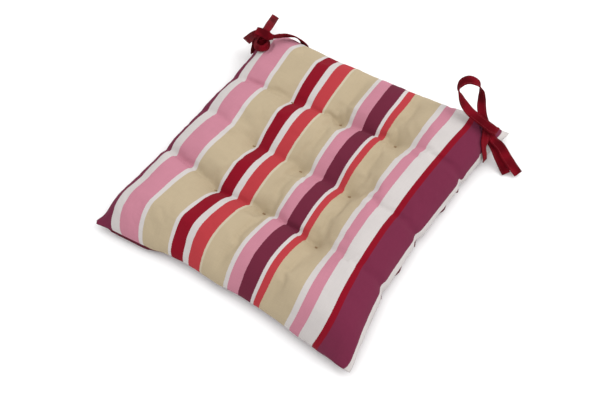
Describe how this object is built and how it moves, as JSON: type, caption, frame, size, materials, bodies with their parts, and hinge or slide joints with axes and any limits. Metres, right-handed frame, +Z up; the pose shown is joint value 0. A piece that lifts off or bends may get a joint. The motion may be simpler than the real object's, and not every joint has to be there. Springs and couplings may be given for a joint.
{
  "type": "chair pad",
  "caption": "Square tufted chair pad of striped cotton, filled and lying flat, with flat cotton ties knotted at its rear corners.",
  "frame": {"origin": "middle of the flat underside, where the pad rests", "axes": "+Z up out of the pad's face, +Y along the stripes towards the edge that carries the ties, +X across the stripes"},
  "size_m": [0.4613, 0.4298, 0.0833],
  "materials": {
    "cover": "matte",
    "strap": "matte"
  },
  "bodies": {
    "root": {"cushion": "cover", "tie_right_side": "strap", "tie_right_rear": "strap", "tie_left_side": "strap", "tie_left_rear": "strap"}
  },
  "joints": []
}
